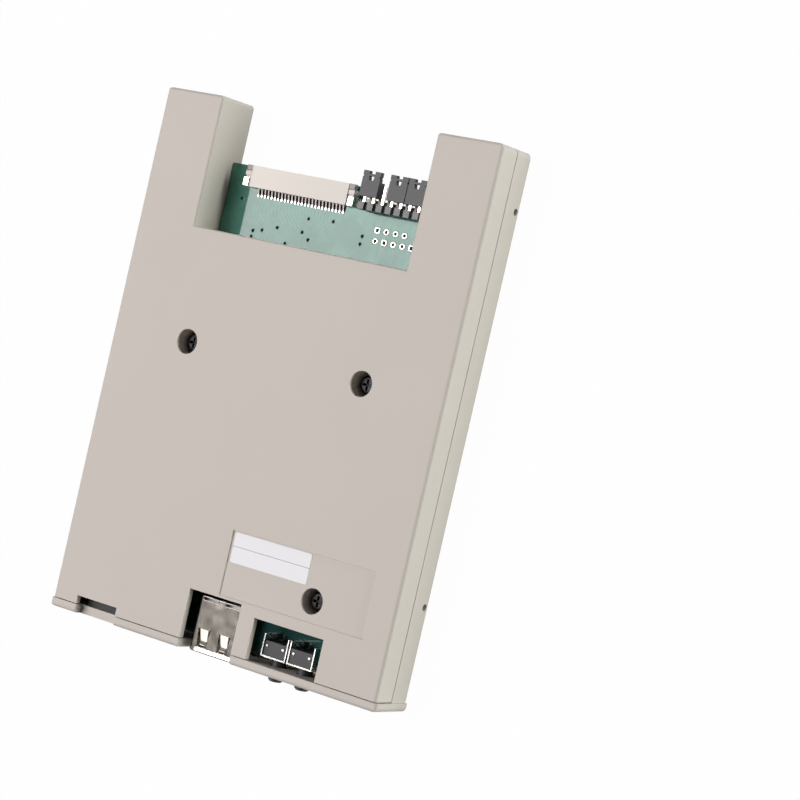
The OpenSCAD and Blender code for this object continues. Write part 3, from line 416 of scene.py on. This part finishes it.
# Push switches: black moulded bodies held in bent nickel-plated brackets on the board.
# Each has a round black plunger through the bezel, a snap disc behind it, two solder legs below
# and the trimmed stubs of two more legs on top.
black_plastic = moulded("black_plastic", (0.028, 0.027, 0.030), (0.048, 0.046, 0.052), 0.39, 5200)
bracket_plate = plated("bracket_plate", (0.66, 0.65, 0.63), (0.86, 0.85, 0.83), 0.20, (0.2, 1, 1))
stub_w, stub_l, stub_h, stub_spread = 0.7 * MM, 0.5 * MM, 0.16 * MM, 2.25 * MM
stub_inset, stub_sink, stub_edge = 2.1 * MM, 0.02 * MM, 0.05 * MM
stubs = bmesh.new()
for side in ("left", "right"):
    dress(black_plastic, side + "_switch_body", side + "_button")
    dress(bracket_plate, side + "_switch_bracket")
    dress(tin, side + "_switch_dome")
    body_low, body_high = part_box(side + "_switch_body")
    middle = (body_low.x + body_high.x) / 2
    for hand in (-1, 1):
        x = middle + hand * stub_spread
        y = body_low.y + stub_inset
        path = [Vector((x, y)), Vector((x, y + stub_l))]
        strip_into(stubs, path, stub_w, body_high.z - stub_sink, body_high.z + stub_h)
bmesh.ops.bevel(stubs, geom=list(stubs.edges), offset=stub_edge, segments=2, affect="EDGES")
piece("leg_stubs", stubs, tin)

# Solder: small fillets where the switches' legs and brackets and the cable contacts meet the board.
# Each is a smooth heap of tin drawn up around its leg, dull from its flux.
place, fill = surface("dull_solder")
frost = place.noise(3200, 3)
dull_solder = fill(
    Base_Color=frost.tint((0.20, 0.22, 0.20), (0.42, 0.43, 0.40)),
    Metallic=0.25,
    Roughness=0.30 + frost * 0.25,
)
solder = bmesh.new()
fillet_profile = [(0.03, 0.30), (0.12, 0.27), (0.20, 0.16), (0.30, 0.06), (0.40, 0.0), (0.03, -0.01)]
leg_half, plate_half, fillet_reach = 0.35 * MM, 0.15 * MM, 0.1 * MM
slim = 0.7
for side in ("left", "right"):
    dress(dull_solder, side + "_switch_terminals")
    legs_low, legs_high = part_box(side + "_switch_terminals")
    for x in (legs_low.x + leg_half, legs_high.x - leg_half):
        spot = Vector((x, legs_high.y - fillet_reach, board_top))
        turned_into(solder, spot, [(r * MM, h * MM) for r, h in fillet_profile], 16)
    plate_low, plate_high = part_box(side + "_switch_bracket")
    for x in (plate_low.x + plate_half, plate_high.x - plate_half):
        spot = Vector((x, plate_high.y + fillet_reach, board_top))
        turned_into(solder, spot, [(r * slim * MM, h * MM) for r, h in fillet_profile], 16)
piece("solder_fillets", solder, dull_solder)
foot_pad_l, foot_pad_w, foot_pad_h, foot_pad_past = 0.40 * MM, 0.42 * MM, 0.06 * MM, 0.04 * MM
feet = bmesh.new()
for i in range(contact_count):
    x = first_contact + i * contact_pitch
    path = [Vector((x, tail_end - foot_pad_past)), Vector((x, tail_end + foot_pad_l))]
    strip_into(feet, path, foot_pad_w, board_top, board_top + foot_pad_h)
piece("contact_feet", feet, tin)

# Digit display: a black moulded block whose three sunk digits look through the bezel's window.
# Each digit is seven pale diffuser bars cast into the face.
display_low, display_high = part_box("display_module")
display_face = moulded("display_face", (0.018, 0.018, 0.020), (0.028, 0.028, 0.031), 0.50, 6000)
dress(display_face, "display_module")
dress(tin, "display_leads")
place, fill = surface("diffuser_bar")
milky = place.noise(1500, 2)
diffuser_bar = fill(
    Base_Color=milky.tint((0.30, 0.25, 0.23), (0.40, 0.34, 0.31)),
    Roughness=0.30 + milky * 0.15,
    Subsurface_Weight=0.15,
)
digit_h, digit_w, bar_w, bar_gap = 3.2 * MM, 1.9 * MM, 0.36 * MM, 0.06 * MM
bar_h = 0.05 * MM
digit_pitch, digit_sink = 3.3 * MM, 0.2 * MM
face_y = display_low.y + digit_sink
display_mid = (display_low + display_high) / 2
digits = bmesh.new()
for d in (-1, 0, 1):
    x = display_mid.x + d * digit_pitch
    z = display_mid.z
    bars = [(x, z + s * digit_h / 2, True) for s in (-1, 0, 1)]
    bars += [(x + h * digit_w / 2, z + s * digit_h / 4, False) for h in (-1, 1) for s in (-1, 1)]
    for bx, bz, level in bars:
        half = (digit_w if level else digit_h / 2) / 2 - bar_gap
        tip = bar_w / 2
        flat = half - tip
        shape = [(-half, 0), (-flat, tip), (flat, tip), (half, 0), (flat, -tip), (-flat, -tip)]
        shape = shape if level else [(b, a) for a, b in shape]
        front = [digits.verts.new((bx + a, face_y - bar_h, bz + b)) for a, b in shape]
        back = [digits.verts.new((bx + a, face_y, bz + b)) for a, b in shape]
        digits.faces.new(front)
        digits.faces.new(back[::-1])
        for i in range(6):
            digits.faces.new((front[i], front[(i + 1) % 6], back[(i + 1) % 6], back[i]))
piece("display_digits", digits, diffuser_bar)

# Flat-cable connector: a cream moulded housing with its mouth to the rear, tinned contacts
# in slots along its front, solder tabs under its lugs and a sliding grey lock bar.
cream_plastic = moulded("cream_plastic", (0.79, 0.725, 0.665), (0.87, 0.805, 0.74), 0.40, 4600)
grey_plastic = moulded("grey_plastic", (0.33, 0.31, 0.29), (0.42, 0.40, 0.38), 0.42, 4600)
dress(cream_plastic, "ffc_housing")
dress(grey_plastic, "ffc_lock_bar")
dress(tin, "ffc_solder_tabs")
place, fill = surface("contact_plate")
drawn = place.stretched(1, 0.1, 0.1).noise(3000, 2)
# Painted shade: the sloped tails get a darker copy of the feet's tin.
shaded_tail = drawn.tint((0.29, 0.265, 0.255), (0.47, 0.44, 0.43))
foot = drawn.tint((0.60, 0.59, 0.56), (0.82, 0.81, 0.78))
contact_plate = fill(
    Base_Color=(place.part("Y") < tail_end + foot_l).tint(shaded_tail, foot),
    Metallic=1.0,
    Roughness=0.24 + drawn * 0.12,
)
dress(contact_plate, "ffc_contacts")

ear_low, ear_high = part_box("ffc_lock_bar")
tabs_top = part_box("ffc_solder_tabs")[1].z
lug_w, lug_l, lug_gap, lug_drop, lug_edge = 1.9 * MM, 1.2 * MM, 0.08 * MM, 0.12 * MM, 0.12 * MM
ear_l, ear_w = 1.2 * MM, 1.6 * MM
lugs = bmesh.new()
for outer, hand in ((ear_low.x, 1), (ear_high.x, -1)):
    x = outer + hand * ear_w - hand * lug_w / 2
    rear = board_high.y - ear_l - lug_gap
    path = [Vector((x, rear - lug_l)), Vector((x, rear))]
    strip_into(lugs, path, lug_w, board_top, tabs_top - lug_drop)
bmesh.ops.bevel(lugs, geom=list(lugs.edges), offset=lug_edge, segments=3, affect="EDGES")
piece("ffc_end_lugs", lugs, cream_plastic)

# Jumper header: a black insulator of two rows of cells with bent square pins.
# Black caps with a sprung clip inside are pushed on pairs of the upper pins.
header_plastic = moulded("header_plastic", (0.026, 0.025, 0.028), (0.044, 0.042, 0.048), 0.27, 5200)
dress(header_plastic, "header_block")
place, fill = surface("pin_plate")
pin_change = board_top + column_pitch
drawn = place.stretched(1, 0.1, 1).noise(3000, 2)
bright = drawn.tint((0.74, 0.70, 0.62), (0.92, 0.88, 0.80))
# Painted shade: the lower row of pins gets a dark copy of the upper row's bright plate.
shaded_pin = drawn.tint((0.030, 0.021, 0.017), (0.070, 0.050, 0.038))
bump = {"Strength": 0.1, "Distance": 0.01 * MM, "Height": drawn}
pin_plate = fill(
    Base_Color=(place.part("Z") > pin_change).tint(shaded_pin, bright),
    Metallic=1.0,
    Roughness=0.20 + drawn * 0.15,
    Normal=place.node("Bump", {}, bump),
)
dress(pin_plate, "header_pins")
for i in (1, 2, 3):
    dress(black_plastic, "jumper_cap_%d" % i)
    dress(gold, "jumper_clip_%d" % i)

# Parts under the cover: black epoxy packages on tinned legs, a steel crystal can,
# an aluminium capacitor can and rows of fired ceramic chips, all soldered flat to the board.
epoxy = moulded("epoxy", (0.020, 0.020, 0.021), (0.036, 0.036, 0.037), 0.48, 7000)
drawn_can = plated("drawn_can", (0.60, 0.60, 0.59), (0.80, 0.80, 0.79), 0.24, (1, 1, 0.1))
black_glaze = moulded("black_glaze", (0.020, 0.021, 0.024), (0.038, 0.040, 0.044), 0.22, 5000)
tan_ceramic = moulded("tan_ceramic", (0.36, 0.25, 0.14), (0.46, 0.34, 0.20), 0.42, 5000)
dress(epoxy, "microcontroller", "memory_chip", "voltage_regulator")
dress(tin, "microcontroller_leads", "memory_leads", "regulator_leads")
dress(drawn_can, "crystal", "bulk_capacitor")
dress(black_glaze, "chip_resistors")
dress(tan_ceramic, "chip_capacitors")

# Case screws: three pan heads with a cross recess, steel under black oxide.
# They sit at the foot of their wells and hold the cover to the posts of the base.
black_oxide = plated("black_oxide", (0.018, 0.018, 0.019), (0.040, 0.039, 0.038), 0.34, (1, 1, 1))
dress(black_oxide, "case_screws")

# Label: a white paper sticker with a printed line across it and slightly rounded corners.
# It is stuck to the floor of the cover's shallow recess.
cover_low, cover_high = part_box("top_shell")
recess_depth = 0.3 * MM
label_w, label_l, label_t, label_r = 22.0 * MM, 7.1 * MM, 0.10 * MM, 0.35 * MM
label_x, label_inset = 11.8 * MM, 24.05 * MM
label_middle = Vector((label_x, cover_low.y + label_inset, cover_high.z - recess_depth))
label_line_shift, label_line_w = 0.25 * MM, 0.13 * MM
label_line_y = label_middle.y + label_line_shift

place, fill = surface("label_paper")
fibre = place.noise(1800, 4)
line = abs(place.part("Y") - label_line_y) < label_line_w / 2
paper = fibre.tint((0.93, 0.915, 0.95), (0.975, 0.96, 0.99))
bump = {"Strength": 0.12, "Distance": 0.02 * MM, "Height": fibre}
label_paper = fill(
    Base_Color=line.tint(paper, (0.30, 0.29, 0.32)),
    Roughness=0.42 + fibre * 0.2,
    Normal=place.node("Bump", {}, bump),
)
label = bmesh.new()
outline = []
for sx, sy, turn in ((1, 1, 0), (-1, 1, 90), (-1, -1, 180), (1, -1, 270)):
    corner = Vector((sx * (label_w / 2 - label_r), sy * (label_l / 2 - label_r), 0))
    for step in range(6):
        angle = math.radians(turn + 18 * step)
        outline.append(label_middle + corner + Vector((math.cos(angle), math.sin(angle), 0)) * label_r)
top = [label.verts.new(p + Vector((0, 0, label_t))) for p in outline]
bottom = [label.verts.new(p) for p in outline]
label.faces.new(top)
label.faces.new(bottom[::-1])
for i in range(len(outline)):
    k = (i + 1) % len(outline)
    label.faces.new((top[i], bottom[i], bottom[k], top[k]))
piece("label", label, label_paper)

# Stage: a plain pale floor just under the part, and a white surround.
# Both look white to the camera, and the surround gives the part a little even fill.
floor_half, floor_drop = 3.0, 0.02 * MM
floor_mesh = bpy.data.meshes.new("floor")
corners = [(x * floor_half, y * floor_half, -floor_drop) for x, y in ((-1, -1), (1, -1), (1, 1), (-1, 1))]
floor_mesh.from_pydata(corners, [], [(0, 1, 2, 3)])
floor = bpy.data.objects.new("floor", floor_mesh)
bpy.context.scene.collection.objects.link(floor)

material = bpy.data.materials.new("pale_floor")
material.use_nodes = True
tree = material.node_tree
start = Wire(tree)
diffuse = start.node("BsdfDiffuse", {}, {"Color": (0.80, 0.80, 0.80, 1)})
glow = start.node("Emission", {}, {"Color": (1, 1, 1, 1), "Strength": 1.0})
direct = start.node("LightPath", {}, {}, "Is Camera Ray")
mirrored = start.node("LightPath", {}, {}, "Is Glossy Ray")
white = (direct + mirrored) * 0.98
mixed = start.node("MixShader", {}, {"Fac": white, "Shader": diffuse, "Shader_001": glow})
tree.links.new(mixed.socket, tree.nodes["Material Output"].inputs["Surface"])
floor_mesh.materials.append(material)

world = bpy.data.worlds.new("studio")
bpy.context.scene.world = world
world.use_nodes = True
tree = world.node_tree
start = Wire(tree)
seen = start.node("LightPath", {}, {}, "Is Camera Ray")
fill_level = 0.075
surround = tree.nodes["Background"]
tree.links.new((seen * (1 - fill_level) + fill_level).socket, surround.inputs["Strength"])
surround.inputs["Color"].default_value = (1, 1, 1, 1)


# Lights: a large soft box to the upper left, a weaker one nearer the front, and a long low one
# to the right, turned a little to the rear so that it reaches into the notch.
def soft_box(name, toward, distance, size, radiance, colour):
    lamp = bpy.data.lights.new(name, "AREA")
    lamp.color = colour
    lamp.shape = "RECTANGLE"
    lamp.size, lamp.size_y = size
    lamp.energy = radiance * math.pi * size[0] * size[1]
    box = bpy.data.objects.new(name, lamp)
    bpy.context.scene.collection.objects.link(box)
    aim = Vector(toward).normalized()
    box.location = aim * distance
    box.rotation_euler = aim.to_track_quat("Z", "Y").to_euler()


soft_box("key_box", (-0.57, 0.10, 0.82), 2.4, (0.72, 1.77), 10.9, (1.0, 0.985, 0.985))
soft_box("front_box", (-0.57, -0.60, 0.62), 2.4, (1.0, 1.2), 3.4, (1.0, 0.985, 0.985))
soft_box("side_box", (0.92, 0.30, 0.085), 1.0, (0.85, 0.15), 17.6, (0.935, 0.99, 0.94))

# Camera: a long lens to the right above the part.
# It is turned so that the bezel is at the foot of the view.
camera_data = bpy.data.cameras.new("camera")
camera_data.sensor_width = 36
camera_data.lens = 105.87
camera = bpy.data.objects.new("camera", camera_data)
bpy.context.scene.collection.objects.link(camera)
stand = Vector((0.31703, 0.01745, 0.45624))
back = Vector((0.5343132, 0.02528786, 0.84490823))
up = Vector((-0.20232726, 0.97432255, 0.09878894))
right = up.cross(back)
camera.matrix_world = Matrix.Translation(stand) @ Matrix((right, up, back)).transposed().to_4x4()
camera_data.clip_start, camera_data.clip_end = 0.01, 20
bpy.context.scene.camera = camera
bpy.context.scene.view_settings.view_transform = "Standard"
